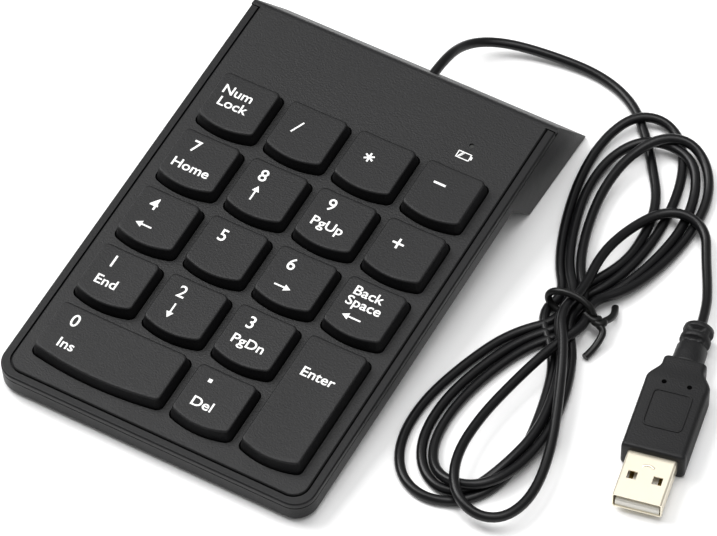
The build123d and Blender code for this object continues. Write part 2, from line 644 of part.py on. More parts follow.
with BuildPart() as cable_tie:
    with BuildSketch(tie_groove):
        Ellipse(WAIST_RX + 1.2, WAIST_Z)
        Ellipse(WAIST_RX, WAIST_RZ, mode=Mode.SUBTRACT)
    extrude(amount=TIE_W)
    with Locations(KNOT):
        Sphere(1.7)
    for end in TIE_ENDS:
        with BuildLine() as end_path:
            Line(KNOT, end)
        with BuildSketch(Plane(KNOT, z_dir=end_path.line % 0)):
            Circle(TIE_R)
        sweep()
save("cable_tie", cable_tie)

# ---- USB plug, lying on the floor ----------------------------------------------------
PLUG_TURN = radians(12)
PLUG_X, PLUG_Y, PLUG_Z = 98.7, 14.3, 3.9      # rear end of the overmould, on its axis
BODY_L, BODY_W, BODY_H, BODY_NECK = 29.0, 15.6, 7.8, 9.2
SHELL_W, SHELL_H, SHELL_T, SHELL_OUT, SHELL_IN = 12.0, 4.5, 0.3, 13.4, 6.0
TONGUE_T = 1.9
PLUG_DIR = Vector(sin(PLUG_TURN), -cos(PLUG_TURN), 0)
PLUG_ACROSS = Vector(cos(PLUG_TURN), sin(PLUG_TURN), 0)
PLUG = Plane((PLUG_X, PLUG_Y, PLUG_Z), x_dir=PLUG_ACROSS, z_dir=PLUG_DIR)
PLUG_FLAT = Plane((PLUG_X, PLUG_Y, 0), x_dir=PLUG_DIR, z_dir=(0, 0, 1))
PLUG_SIDE = Plane((PLUG_X, PLUG_Y, PLUG_Z), x_dir=PLUG_DIR, z_dir=-PLUG_ACROSS)

with BuildPart() as plug_body:
    with BuildSketch(PLUG_FLAT):
        with BuildLine():
            FilletPolyline(
                (0, -BODY_NECK / 2), (5.5, -BODY_W / 2), (BODY_L, -BODY_W / 2),
                (BODY_L, BODY_W / 2), (5.5, BODY_W / 2), (0, BODY_NECK / 2),
                radius=[2.0, 0.8, 0.8, 2.0],
            )
            Line((0, BODY_NECK / 2), (0, -BODY_NECK / 2))
        make_face()
    extrude(amount=BODY_H)
    fillet(plug_body.faces().filter_by(Axis.Z).edges(), 0.7)
    with BuildSketch(PLUG.offset(BODY_L - SHELL_IN)):
        RectangleRounded(SHELL_W, SHELL_H, 0.6)
    extrude(amount=SHELL_IN, mode=Mode.SUBTRACT)
save("plug_body", plug_body)

with BuildPart() as plug_relief:
    with BuildSketch(PLUG_SIDE):
        with BuildLine():
            Polyline(
                (0, 0), (0, 3.6), (-6.2, 3.3), (-6.2, 2.6), (-7.4, 2.6), (-7.4, 3.2), (-8.6, 3.1),
                (-8.6, 2.3), (-9.6, 2.3), (-9.6, 3.5), (-12.5, 3.2), (-12.5, 0), (0, 0),
            )
        make_face()
    revolve(axis=Axis((PLUG_X, PLUG_Y, PLUG_Z), PLUG_DIR))
save("plug_relief", plug_relief)

WINDOW_BACK, WINDOW_X, WINDOW = 6.6, 3.05, 2.3    # latch windows, from the mouth
with BuildPart() as plug_shell:
    with BuildSketch(PLUG.offset(BODY_L - SHELL_IN)):
        RectangleRounded(SHELL_W, SHELL_H, 0.6)
        RectangleRounded(SHELL_W - 2 * SHELL_T, SHELL_H - 2 * SHELL_T, 0.4, mode=Mode.SUBTRACT)
    extrude(amount=SHELL_IN + SHELL_OUT)
    with BuildSketch(PLUG_FLAT):
        with Locations(*[(BODY_L + SHELL_OUT - WINDOW_BACK, x) for x in (-WINDOW_X, WINDOW_X)]):
            Rectangle(WINDOW, WINDOW)
    extrude(amount=2 * PLUG_Z, mode=Mode.SUBTRACT)
save("plug_shell", plug_shell)

TONGUE_IN, TONGUE_BACK = 0.4, SHELL_IN
TONGUE_Y = -SHELL_H / 2 + SHELL_T + TONGUE_T / 2
with BuildPart() as plug_tongue:
    with BuildSketch(PLUG.offset(BODY_L - TONGUE_BACK)):
        with Locations((0, TONGUE_Y)):
            Rectangle(SHELL_W - 2 * SHELL_T - 0.8, TONGUE_T)
    extrude(amount=TONGUE_BACK + SHELL_OUT - TONGUE_IN)
    front = plug_tongue.faces().sort_by(Axis(PLUG.origin, PLUG_DIR))[-1]
    chamfer(front.edges().sort_by(Axis.Z)[-1], 0.4)
save("plug_tongue", plug_tongue)

for number, x in enumerate((-3.5, -1.0, 1.0, 3.5), start=1):
    with BuildPart() as contact:
        with BuildSketch(PLUG.offset(BODY_L - SHELL_IN + 1)):
            with Locations((x, TONGUE_Y + TONGUE_T / 2 + 0.08)):
                Rectangle(1.0, 0.16)
        extrude(amount=SHELL_IN + SHELL_OUT - 3.2)
    save(f"plug_contact_{number}", contact)
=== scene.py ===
"""Wired numeric keypad: black keycaps with printed legends, a tied hank of cord and its plug."""

from math import atan2, cos, pi, radians, sin, sqrt

import bpy
import bmesh
import numpy as np
from mathutils import Matrix, Vector


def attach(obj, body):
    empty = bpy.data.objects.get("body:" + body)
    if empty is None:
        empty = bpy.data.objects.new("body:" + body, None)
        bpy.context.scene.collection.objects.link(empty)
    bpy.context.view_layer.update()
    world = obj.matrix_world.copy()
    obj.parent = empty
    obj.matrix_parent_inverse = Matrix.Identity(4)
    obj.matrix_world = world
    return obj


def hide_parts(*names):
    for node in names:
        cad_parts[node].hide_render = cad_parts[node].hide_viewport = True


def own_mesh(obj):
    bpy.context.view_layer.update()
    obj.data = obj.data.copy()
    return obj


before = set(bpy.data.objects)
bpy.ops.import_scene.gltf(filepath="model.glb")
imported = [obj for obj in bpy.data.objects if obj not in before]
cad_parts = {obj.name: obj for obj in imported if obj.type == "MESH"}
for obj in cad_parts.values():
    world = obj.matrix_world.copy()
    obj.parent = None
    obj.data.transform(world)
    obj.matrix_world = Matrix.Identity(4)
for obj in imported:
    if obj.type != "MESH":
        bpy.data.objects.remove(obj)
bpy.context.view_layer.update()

MM = 0.001

# ---- deck frame and key layout, millimetres, as in part.py ---------------------------
TILT = radians(5.5)
DECK_Y, DECK_Z = -7.5, 13.3
PITCH_X, PITCH_Y, ROW0_Y = 19.0, 19.05, 30.5
KEY_W, KEY_D, KEY_H = 15.3, 13.9, 3.3
KEY_BOW, KEY_FLARE, KEY_R, KEY_WALL = 1.6, 0.6, 1.4, 1.1
SKIRT_TOP, SKIRT_BOTTOM, KEY_CEILING = 0.2, -0.9, 2.2
STEM_R, STEM_BOTTOM = 2.6, -1.9
DISH = 0.25
EDGE_R = 0.55

KEYS = {
    "key_num_lock": (0, 0, 1, 1), "key_divide": (1, 0, 1, 1),
    "key_multiply": (2, 0, 1, 1), "key_minus": (3, 0, 1, 1),
    "key_7": (0, 1, 1, 1), "key_8": (1, 1, 1, 1), "key_9": (2, 1, 1, 1), "key_plus": (3, 1, 1, 1),
    "key_4": (0, 2, 1, 1), "key_5": (1, 2, 1, 1), "key_6": (2, 2, 1, 1),
    "key_backspace": (3, 2, 1, 1),
    "key_1": (0, 3, 1, 1), "key_2": (1, 3, 1, 1), "key_3": (2, 3, 1, 1), "key_enter": (3, 3, 1, 2),
    "key_0": (0, 4, 2, 1), "key_decimal": (2, 4, 1, 1),
}


def deck(x, y, z):
    """World point, in metres, of a point given in deck millimetres."""
    return Vector((
        x, DECK_Y + y * cos(TILT) - z * sin(TILT), DECK_Z + y * sin(TILT) + z * cos(TILT)
    )) * MM


def key_centre(column, row, wide, deep):
    return (column - 1.5 + (wide - 1) / 2) * PITCH_X, ROW0_Y - (row + (deep - 1) / 2) * PITCH_Y


def key_size(wide, deep):
    return KEY_W + (wide - 1) * PITCH_X, KEY_D + (deep - 1) * PITCH_Y


# ---- materials ------------------------------------------------------------------------
def new_material(name, **sockets):
    """Principled material with its constant sockets set directly."""
    material = bpy.data.materials.new(name)
    material.use_nodes = True
    shader = material.node_tree.nodes["Principled BSDF"]
    for socket, value in sockets.items():
        shader.inputs[socket.replace("_", " ")].default_value = value
    return material


def add_noise(material, scale, detail=4.0):
    """Object-space noise whose scale is in features per metre."""
    tree = material.node_tree
    coords = tree.nodes.new("ShaderNodeTexCoord")
    noise = tree.nodes.new("ShaderNodeTexNoise")
    noise.inputs["Scale"].default_value = scale
    noise.inputs["Detail"].default_value = detail
    tree.links.new(coords.outputs["Object"], noise.inputs["Vector"])
    return noise


def vary(material, socket, noise, low, high):
    """Drive a socket between two values or colours with a noise texture."""
    tree = material.node_tree
    ramp = tree.nodes.new("ShaderNodeValToRGB")
    ramp.color_ramp.elements[0].position, ramp.color_ramp.elements[1].position = 0.35, 0.65
    for element, value in zip(ramp.color_ramp.elements, (low, high)):
        element.color = value if hasattr(value, "__len__") else (value, value, value, 1)
    tree.links.new(noise.outputs["Fac"], ramp.inputs["Fac"])
    tree.links.new(ramp.outputs["Color"], tree.nodes["Principled BSDF"].inputs[socket])


def add_bump(material, noise, strength, distance):
    tree = material.node_tree
    bump = tree.nodes.new("ShaderNodeBump")
    bump.inputs["Strength"].default_value = strength
    bump.inputs["Distance"].default_value = distance * MM
    tree.links.new(noise.outputs["Fac"], bump.inputs["Height"])
    tree.links.new(bump.outputs["Normal"], tree.nodes["Principled BSDF"].inputs["Normal"])


def moulded(name, colour, roughness, grain=3500, depth=0.03, spread=0.05, metal=0.0, level=0.25):
    """Moulded surface: fine spark-eroded grain, slow colour drift and uneven sheen."""
    material = new_material(name, Metallic=metal)
    material.node_tree.nodes["Principled BSDF"].inputs["Specular IOR Level"].default_value = level
    dark = tuple(c * (1 - spread) for c in colour) + (1,)
    light = tuple(min(c * (1 + spread), 1) for c in colour) + (1,)
    vary(material, "Base Color", add_noise(material, 60), dark, light)
    vary(material, "Roughness", add_noise(material, 350), roughness - 0.015, roughness + 0.015)
    add_bump(material, add_noise(material, grain, 2), 0.5, depth)
    return material


PANEL = moulded("panel_plastic", (0.0085, 0.0085, 0.009), 0.46, grain=2300, depth=0.2)
CASE = moulded("case_plastic", (0.006, 0.006, 0.0065), 0.42, grain=2600, depth=0.1, level=0.2)
KEYCAP = moulded("key_plastic", (0.0065, 0.0065, 0.007), 0.46, grain=2300, depth=0.16)
INK = moulded("legend_ink", (0.86, 0.86, 0.85), 0.55, grain=6000, depth=0.01, spread=0.03)
JACKET = moulded("cord_jacket", (0.004, 0.004, 0.0045), 0.30, grain=1800, depth=0.03)
TIE = moulded("tie_plastic", (0.005, 0.005, 0.005), 0.33, grain=1500, depth=0.04)
OVERMOULD = moulded("plug_overmould", (0.007, 0.007, 0.0075), 0.48, grain=2300, depth=0.2)
NICKEL = moulded("plug_metal", (0.83, 0.77, 0.63), 0.30, grain=900, depth=0.01, spread=0.03, metal=0.85)
INSULATOR = moulded("plug_insulator", (0.82, 0.80, 0.74), 0.42)
GOLD = moulded("contact_gold", (0.83, 0.62, 0.25), 0.25, spread=0.05, metal=1)
RUBBER = moulded("foot_rubber", (0.030, 0.030, 0.031), 0.72, grain=2500, depth=0.08)
STEEL = moulded("screw_steel", (0.52, 0.52, 0.53), 0.32, spread=0.08, metal=1)
ALUMINIUM = moulded("plate_aluminium", (0.74, 0.75, 0.76), 0.38, spread=0.05, metal=1)
FILM = moulded("membrane_film", (0.66, 0.68, 0.66), 0.30, spread=0.04)
SILICONE = moulded("dome_rubber", (0.62, 0.64, 0.63), 0.55, spread=0.05)
BOARD = moulded("board_laminate", (0.02, 0.16, 0.07), 0.35, spread=0.2)
EPOXY = moulded("chip_epoxy", (0.025, 0.025, 0.026), 0.55)
SMOKED = moulded("light_plastic", (0.035, 0.036, 0.034), 0.15, depth=0.005)
NYLON = moulded("header_plastic", (0.74, 0.72, 0.64), 0.45)

NODE_MATERIALS = {
    PANEL: ["deck_panel"],
    CASE: ["upper_case", "bottom_shell"],
    RUBBER: [
        "front_foot_left", "front_foot_right", "rear_foot_left", "rear_foot_right",
        "cable_grommet",
    ],
    STEEL: [
        "case_screw_1", "case_screw_2", "case_screw_3", "case_screw_4", "clamp_screw_left",
        "clamp_screw_right", "membrane_clamp", "stabiliser_zero", "stabiliser_enter",
    ],
    ALUMINIUM: ["support_plate"],
    FILM: ["membrane_lower", "membrane_spacer", "membrane_upper"],
    BOARD: ["circuit_board"],
    EPOXY: ["controller_chip"],
    SMOKED: ["status_led", "light_pipe"],
    NYLON: ["cable_header"],
    JACKET: ["inner_leads"],
    INSULATOR: ["plug_tongue"],
    NICKEL: ["plug_shell"],
    GOLD: ["plug_contact_1", "plug_contact_2", "plug_contact_3", "plug_contact_4"],
}
for material, nodes in NODE_MATERIALS.items():
    for node in nodes:
        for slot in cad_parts[node].material_slots:
            slot.material = material


# ---- mesh helpers -----------------------------------------------------------------------
def make_object(name, bm, material, smooth=True):
    bmesh.ops.recalc_face_normals(bm, faces=bm.faces)
    mesh = bpy.data.meshes.new(name)
    bm.to_mesh(mesh)
    bm.free()
    mesh.materials.append(material)
    for polygon in mesh.polygons:
        polygon.use_smooth = smooth
    piece = bpy.data.objects.new(name, mesh)
    bpy.context.scene.collection.objects.link(piece)
    return piece


def loft_rings(bm, rings, cap_start=True, cap_end=True):
    """Skin between rings of points with the same count, fanning the ends to their middles."""
    rows = [[bm.verts.new(p) for p in ring] for ring in rings]
    for low, high in zip(rows, rows[1:]):
        for k in range(len(low)):
            n = (k + 1) % len(low)
            bm.faces.new((low[k], low[n], high[n], high[k]))
    for wanted, row in ((cap_start, rows[0]), (cap_end, rows[-1])):
        if wanted:
            middle = bm.verts.new(sum((v.co for v in row), Vector()) / len(row))
            for k in range(len(row)):
                bm.faces.new((row[k], row[(k + 1) % len(row)], middle))


def circle(radius, count):
    """Points of a circle round the origin, without repeating the first."""
    return [(radius * cos(a), radius * sin(a)) for a in np.linspace(0, 2 * pi, count + 1)[:-1]]


# ---- keycaps ------------------------------------------------------------------------------
def key_ring(width, depth, grow, shrink=1.0):
    """Outline points of a keycap section: straight rear and sides, bowed front edge."""
    w, d = width / 2 + grow, depth / 2 + grow
    r = max(KEY_R + grow / 2, 0.5)
    tangent_x = w - r
    for _ in range(4):
        slope = atan2(2 * KEY_BOW * tangent_x / w**2, 1)
        tangent_x = w - r + r * sin(slope)

    def front(x):
        return -d - KEY_BOW * (1 - (x / w) ** 2)

    corner_y = front(tangent_x) + r * cos(slope)
    half = [(tangent_x * k / 8, front(tangent_x * k / 8)) for k in range(9)]
    turn = pi / 2 - slope
    for k in range(1, 7):
        a = -pi / 2 + slope + turn * k / 6
        half.append((w - r + r * cos(a), corner_y + r * sin(a)))
    half += [(w, corner_y + (d - r - corner_y) * k / 5) for k in range(1, 5)]
    half += [(w - r + r * cos(a), d - r + r * sin(a)) for a in [pi / 12 * k for k in range(7)]]
    half += [((w - r) * (1 - k / 6), d) for k in range(1, 7)]
    ring = half + [(-x, y) for x, y in reversed(half[1:-1])]
    return [(x * shrink, y * shrink) for x, y in ring]


def key_top(x, width):
    """Height of the dished top surface at x from the key's middle."""
    return KEY_H - DISH * (1 - min((2 * x / width) ** 2, 1))


def make_keycap(name, cell):
    cx, cy = key_centre(*cell)
    width, depth = key_size(*cell[2:])

    def ring(grow, z, shrink=1.0, dished=False):
        return [
            deck(cx + x, cy + y, z + (key_top(x, width) - KEY_H if dished else 0))
            for x, y in key_ring(width, depth, grow, shrink)
        ]

    def flare(z):
        return KEY_FLARE * (KEY_H - z) / (KEY_H - SKIRT_TOP)

    def stem(z, r):
        return [deck(cx + x, cy + y, z) for x, y in circle(r, 24)]

    wall_top = KEY_H - EDGE_R
    rings = [
        ring(-KEY_WALL, KEY_CEILING), ring(KEY_FLARE - KEY_WALL, SKIRT_BOTTOM + 0.1),
        ring(KEY_FLARE - 0.12, SKIRT_BOTTOM), ring(KEY_FLARE, SKIRT_BOTTOM + 0.12),
        ring(KEY_FLARE, SKIRT_TOP), ring(flare(1.5), 1.5),
        ring(flare(wall_top), wall_top, dished=True),
    ]
    for k in range(1, 7):
        a = pi / 2 * k / 6
        grow = flare(wall_top) - EDGE_R * (1 - cos(a))
        rings.append(ring(grow, wall_top + EDGE_R * sin(a), dished=True))
    inset = flare(wall_top) - EDGE_R
    rings += [ring(inset, KEY_H, s, dished=True) for s in (0.94, 0.8, 0.6, 0.4, 0.2)]
    bm = bmesh.new()
    loft_rings(bm, rings)
    loft_rings(bm, [
        stem(KEY_CEILING, STEM_R), stem(STEM_BOTTOM + 0.3, STEM_R), stem(STEM_BOTTOM, STEM_R - 0.3)
    ], cap_start=False)
    piece = make_object("cap_" + name, bm, KEYCAP)
    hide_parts(name)
    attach(piece, name)


for name, cell in KEYS.items():
    make_keycap(name, cell)

# ---- rubber web with a dome under each key -----------------------------------------------------
WEB_BOTTOM, WEB_TOP, DOME_TOP = -4.4, -4.1, STEM_BOTTOM - 0.05
DOME_R, DOME_TOP_R, DOME_WALL = 2.4, 1.5, 0.4
WEB_HALF_W, WEB_FRONT, WEB_REAR = 37.2, -57.5, 39.5


def add_rubber(name, rings):
    bm = bmesh.new()
    loft_rings(bm, rings)
    piece = make_object(name, bm, SILICONE, smooth=False)
    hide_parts("dome_sheet")
    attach(piece, "case")
    return piece


def web_corners(z):
    corners = [(1, WEB_REAR), (-1, WEB_REAR), (-1, WEB_FRONT), (1, WEB_FRONT)]
    return [deck(side * WEB_HALF_W, y, z) for side, y in corners]


add_rubber("dome_web", [web_corners(WEB_BOTTOM), web_corners(WEB_TOP)])
DOME_PROFILE = [
    (DOME_TOP_R - DOME_WALL, DOME_TOP - 0.7), (DOME_R - DOME_WALL, WEB_TOP), (DOME_R, WEB_TOP),
    (DOME_TOP_R, DOME_TOP),
]
for name, cell in KEYS.items():
    cx, cy = key_centre(*cell)
    dome = add_rubber(name.replace("key", "dome"), [
        [deck(cx + x, cy + y, z) for x, y in circle(r, 24)] for r, z in DOME_PROFILE
    ])
    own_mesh(dome)

# ---- legends --------------------------------------------------------------------------------
INK_T = 0.02
DIGIT, WORD = 3.55, 2.7           # letter sizes
FONT_SCALE = 1.38                 # curve size of the default font per unit of cap height
LINE_W = 0.42
ARROW_L, ARROW_W, ARROW_HEAD_L, ARROW_HEAD_W = 4.4, 0.42, 1.7, 0.95


def text_mesh(text, size, stretch=0.95, weight=0.035):
    """Flat filled lettering centred on its own origin, in millimetres."""
    curve = bpy.data.curves.new(text, "FONT")
    curve.body = text
    curve.size, curve.offset = size * FONT_SCALE, weight * size / 3
    curve.align_x = "CENTER"
    curve.resolution_u = 4
    holder = bpy.data.objects.new(text, curve)
    mesh = bpy.data.meshes.new_from_object(holder)
    points = [(v.co.x * stretch, v.co.y) for v in mesh.vertices]
    faces = [tuple(p.vertices) for p in mesh.polygons]
    bpy.data.objects.remove(holder)
    bpy.data.meshes.remove(mesh)
    low, high = min(y for _, y in points), max(y for _, y in points)
    return [(x, y - (low + high) / 2) for x, y in points], faces


def bar(x0, y0, x1, y1, width=LINE_W):
    """Straight printed stroke from one point to another."""
    along = Vector((x1 - x0, y1 - y0)).normalized()
    side = Vector((-along.y, along.x)) * width / 2
    a, b = Vector((x0, y0)), Vector((x1, y1))
    return [tuple(p) for p in (a - side, b - side, b + side, a + side)], [(0, 1, 2, 3)]


def arrow(turn, length=ARROW_L):
    """Arrow along +X turned by a number of quarter turns."""
    tip, barb = length / 2, length / 2 - ARROW_HEAD_L
    shapes = [
        bar(-tip, 0, tip - 1.0, 0, ARROW_W),
        ([(tip, 0), (barb, ARROW_HEAD_W), (barb, -ARROW_HEAD_W)], [(0, 1, 2)]),
    ]
    c, s = cos(turn * pi / 2), sin(turn * pi / 2)
    return [([(x * c - y * s, x * s + y * c) for x, y in points], faces) for points, faces in shapes]


def star(size):
    """Printed asterisk: three crossed strokes."""
    spokes = [pi / 2, pi / 6, -pi / 6]
    return [
        bar(-size * cos(a), -size * sin(a), size * cos(a), size * sin(a), 0.46) for a in spokes
    ]


def word(text):
    return [text_mesh(text, WORD, stretch=1.1, weight=0.05)]


def digit(text):
    return [text_mesh(text, DIGIT)]


LEGENDS = {
    "key_num_lock": [(word("Num"), -1.6, 2.2), (word("Lock"), -1.2, -1.5)],
    "key_divide": [([bar(-0.85, -1.85, 0.85, 1.85)], -2.8, 0.2)],
    "key_multiply": [(star(1.35), -1.9, 0.4)],
    "key_minus": [([bar(-1.6, 0, 1.6, 0, 0.6)], -2.0, 1.4)],
    "key_plus": [([bar(-1.5, 0, 1.5, 0, 0.55), bar(0, -1.5, 0, 1.5, 0.55)], -2.3, 0.7)],
    "key_7": [(digit("7"), -2.8, 2.9), (word("Home"), -0.7, -3.1)],
    "key_8": [(digit("8"), -2.8, 3.0), (arrow(1), -2.3, -2.4)],
    "key_9": [(digit("9"), -2.9, 3.1), (word("PgUp"), -0.9, -3.0)],
    "key_4": [(digit("4"), -2.9, 2.8), (arrow(2), -2.2, -3.7)],
    "key_5": [(digit("5"), -2.6, 2.5)],
    "key_6": [(digit("6"), -2.8, 2.9), (arrow(0), -1.6, -3.8)],
    "key_backspace": [
        (word("Back"), -1.2, 3.6), (word("Space"), -0.7, 0.0), (arrow(2, 5.0), -1.7, -3.9),
    ],
    "key_1": [(digit("1"), -3.0, 3.0), (word("End"), -1.6, -2.9)],
    "key_2": [(digit("2"), -2.9, 3.0), (arrow(3), -2.6, -2.8)],
    "key_3": [(digit("3"), -2.9, 3.0), (word("PgDn"), -0.6, -2.9)],
    "key_enter": [(word("Enter"), -0.3, 6.5)],
    "key_0": [(digit("0"), -11.7, 3.1), (word("Ins"), -10.2, -3.6)],
    "key_decimal": [([bar(-0.5, 0, 0.5, 0, 1.0)], -3.2, 3.4), (word("Del"), -1.6, -3.0)],
}


def print_shapes(name, placed, height, body):
    """Lay flat shapes on a surface as a thin film of ink. height(x, y) is in deck millimetres."""
    bm = bmesh.new()
    for shapes, dx, dy in placed:
        for points, faces in shapes:
            verts = [
                bm.verts.new(deck(x + dx, y + dy, height(x + dx, y + dy) + INK_T)) for x, y in points
            ]
            for face in faces:
                bm.faces.new([verts[k] for k in face])
    piece = make_object(name, bm, INK, smooth=False)
    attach(piece, body)
    return piece


for name, cell in KEYS.items():
    cx, cy = key_centre(*cell)
    width = key_size(*cell[2:])[0]
    placed = [(shapes, cx + dx, cy + dy) for shapes, dx, dy in LEGENDS[name]]
    piece = print_shapes(
        "legend_" + name, placed, lambda x, y: key_top(x - cx, width), name
    )

BATTERY = [
    bar(-1.9, -0.95, 1.5, -0.95, 0.26), bar(-1.9, 0.95, 1.5, 0.95, 0.26),
    bar(-1.9, -1.08, -1.9, 1.08, 0.26), bar(1.5, -1.08, 1.5, 1.08, 0.26),
    bar(1.63, 0, 2.1, 0, 0.9), bar(-1.5, -0.7, -0.7, 0.75, 0.3), bar(-1.1, -0.7, -0.3, 0.75, 0.16),
]
battery = print_shapes("icon_battery", [(BATTERY, 26.6, 43.7)], lambda x, y: 0.0, "case")

# ---- cord: lead, tied hank and tail, one curve; millimetres, as in part.py -------------------
CORD_R = 1.25
EXIT = deck(4.0, 63.0, -9.6) / MM
LEAD = [
    tuple(EXIT), (4.0, 66.1, 10.74), (4.4, 77.8, 5.6), (11.0, 84.2, 1.9), (23.6, 87.2, 1.25),
    (37.0, 88.2, 1.5), (48.0, 84.2, 3.2), (55.5, 76.2, 4.5), (62.0, 67.6, 4.3),
    (68.2, 59.0, 3.6), (71.0, 48.5, 3.8), (72.0, 36.5, 4.4),
]
TAIL = [
    (64.8, 34.5, 5.8), (66.6, 44.9, 6.5), (71.0, 54.7, 6.6), (77.2, 57.2, 5.6),
    (83.5, 54.8, 3.4), (87.2, 47.2, 1.6), (91.4, 40.0, 1.5), (94.4, 33.6, 3.0),
    (96.2, 26.8, 3.9),
]
TIE_X, TIE_Y = 66.3, 17.5
HALF_TIE = 4.0
TURN_POINTS = 14
TO_FRONT, TO_REAR = 2.0, -1.2     # sideways step of a strand through the tie, each half

# passes through the tie: x from its middle, z, and sideways step; loops between them:
# side (-1 front), reach, half width, lean, roundness, height
PASSES = [
    (-2.2, 4.6, TO_FRONT), (-3.8, 2.1, TO_REAR), (0.3, 4.6, TO_FRONT), (-1.27, 2.1, TO_REAR),
    (2.8, 4.6, TO_FRONT), (1.27, 2.1, TO_REAR), (3.6, 2.6, TO_FRONT), (-0.3, 6.9, TO_REAR),
]
LOOPS = [
    (-1, 66.0, 14.9, -1.2, 1, 1.3), (1, 64.5, 11.8, -7.2, 1, 1.3), (-1, 61.5, 13.2, -1.2, 1, 2.5),
    (1, 58.5, 12.6, -4.4, 1, 2.5), (-1, 60.5, 12.2, -1.8, 1, 3.7), (1, 59.5, 12.3, -1.6, 1, 4.0),
    (-1, 66.5, 11.6, 8.6, 2, 5.0),
]


def through_tie(x, z, step, side):
    """Two points that carry a strand through the tie towards side (-1 is the front)."""
    return [
        (TIE_X + x + step * k * -side, TIE_Y + HALF_TIE * k * side, z) for k in (-1, 1)
    ]


def loop_points(side, reach, half_width, lean, roundness, height, x_in, x_out):
    """Teardrop from the tie round its far end and back, left limb first."""
    wide = half_width / (0.77 if roundness == 1 else 0.65)
    points = []
    for k in range(2, TURN_POINTS - 1):
        turned, angle = k / TURN_POINTS, 2 * pi * k / TURN_POINTS
        x = TIE_X + x_in * (1 - turned) + x_out * turned + lean * (1 - cos(angle)) / 2
        x -= wide * sin(angle) * sin(angle / 2) ** roundness
        points.append((x, TIE_Y + side * reach * (1 - cos(angle)) / 2, height))
    return points


def spline_weights(count, steps=5):
    """Rows of weights that turn control points into points on their quadratic spline."""
    knots = [0, 0] + list(range(count - 1)) + [count - 2, count - 2]
    rows = []
    for i in range(count - 2):
        t1, t2, t3, t4 = knots[i + 1:i + 5]
        for t in np.linspace(i, i + 1, steps, endpoint=False):
            a = np.array([t3 - t, t - t1]) / (t3 - t1)
            b = np.array([t4 - t, t - t2]) / (t4 - t2)
            mix = np.array([t3 - t, t - t2]) / (t3 - t2)
            row = np.zeros(count)
            row[i:i + 2] += a * mix[0]
            row[i + 1:i + 3] += b * mix[1]
            rows.append(row)
    return np.array(rows)


SETTLE_ROUNDS, STRAND_GAP, SAME_STRAND = 170, 2.62, 8
EASE_BENDS = np.array((0.0015, 0.0015, 0.05))
KEEP_PLAN, SINK, LIFT, PUSH = 0.02, 0.03, 0.6, 1.5


def settle(points):
    """Push crossing strands off each other, later ones uppermost, and down to the floor.

    Each round also eases sharp bends and pulls the strands back towards their plan.
    """
    points = np.array(points)
    weights = spline_weights(len(points))
    places = weights @ points
    along = np.concatenate([[0], np.cumsum(np.linalg.norm(np.diff(places, axis=0), axis=1))])
    neighbours = np.abs(along[:, None] - along[None]) < SAME_STRAND
    order = np.sign(along[:, None] - along[None])
    free = np.ones(len(points))
    free[:3] = free[-2:] = 0
    start = points.copy()
    for _ in range(SETTLE_ROUNDS):
        places = weights @ points
        gap = places[:, None] - places[None]
        distance = np.sqrt((gap**2).sum(axis=2)) + 1e-6
        overlap = np.where(neighbours, 0, np.maximum(STRAND_GAP - distance, 0))
        away = gap / distance[..., None]
        away[..., 2] += LIFT * order
        touching = np.maximum((overlap > 0).sum(axis=1), 1)
        push = (overlap[..., None] * away).sum(axis=1) * 0.5 / touching[:, None]
        points += (weights.T @ push) / weights.sum(axis=0)[:, None] * PUSH * free[:, None]
        bends = points[:-2] - 2 * points[1:-1] + points[2:]
        points[1:-1] += bends * EASE_BENDS * free[1:-1, None]
        points[:, :2] += (start - points)[:, :2] * KEEP_PLAN * free[:, None]
        sunk = np.maximum(points[:, 2] - SINK, CORD_R)
        points[:, 2] = np.where(free > 0, sunk, points[:, 2])
    return points


route = LEAD + through_tie(*PASSES[0], side=-1)
for loop, before, after in zip(LOOPS, PASSES, PASSES[1:]):
    route += loop_points(*loop, before[0], after[0])
    route += through_tie(*after, side=-loop[0])
route = settle(route + TAIL)

cord_curve = bpy.data.curves.new("cord", "CURVE")
cord_curve.dimensions = "3D"
cord_curve.resolution_u = 6
cord_curve.bevel_depth = CORD_R * MM
cord_curve.bevel_resolution = 5
cord_curve.use_fill_caps = True
spline = cord_curve.splines.new("NURBS")
spline.points.add(len(route) - 1)
for point, place in zip(spline.points, route):
    point.co = (*(place * MM), 1)
spline.order_u = 3
spline.use_endpoint_u = True
cord_curve.materials.append(JACKET)
cord = bpy.data.objects.new("cord", cord_curve)
bpy.context.scene.collection.objects.link(cord)
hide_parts("cable_lead", "cable_hank", "cable_tail")
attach(cord, "case")


def strand(name, points, radius, material, closed=False):
    """Round strand through given points, in millimetres."""
    curve = bpy.data.curves.new(name, "CURVE")
    curve.dimensions = "3D"
    curve.resolution_u = 8
    curve.bevel_depth, curve.bevel_resolution = radius * MM, 4
    curve.use_fill_caps = True
    line = curve.splines.new("NURBS")
    line.points.add(len(points) - 1)
    for point, place in zip(line.points, points):
        point.co = (*(Vector(place) * MM), 1)
    line.order_u = 4
    line.use_endpoint_u = not closed
    line.use_cyclic_u = closed
    curve.materials.append(material)
    piece = bpy.data.objects.new(name, curve)
    bpy.context.scene.collection.objects.link(piece)
    return piece


# ---- twist tie round the hank ------------------------------------------------------------------
TIE_R = 0.9
RING_W, RING_H, RING_Z = 6.3, 3.75, 4.75
TWIST_X, TWIST_Y, TWIST_Z = 71.8, 16.4, 5.0
TWIST_R, TWIST_STEP, TWIST_DROP, TWIST_TURN = 1.2, 0.75, 0.3, 1.7
ring = [
    (TIE_X + RING_W * cos(a), TIE_Y - 0.5 + 0.6 * sin(a), RING_Z + RING_H * sin(a))
    for a in np.linspace(0, 2 * pi, 13)[:-1]
]


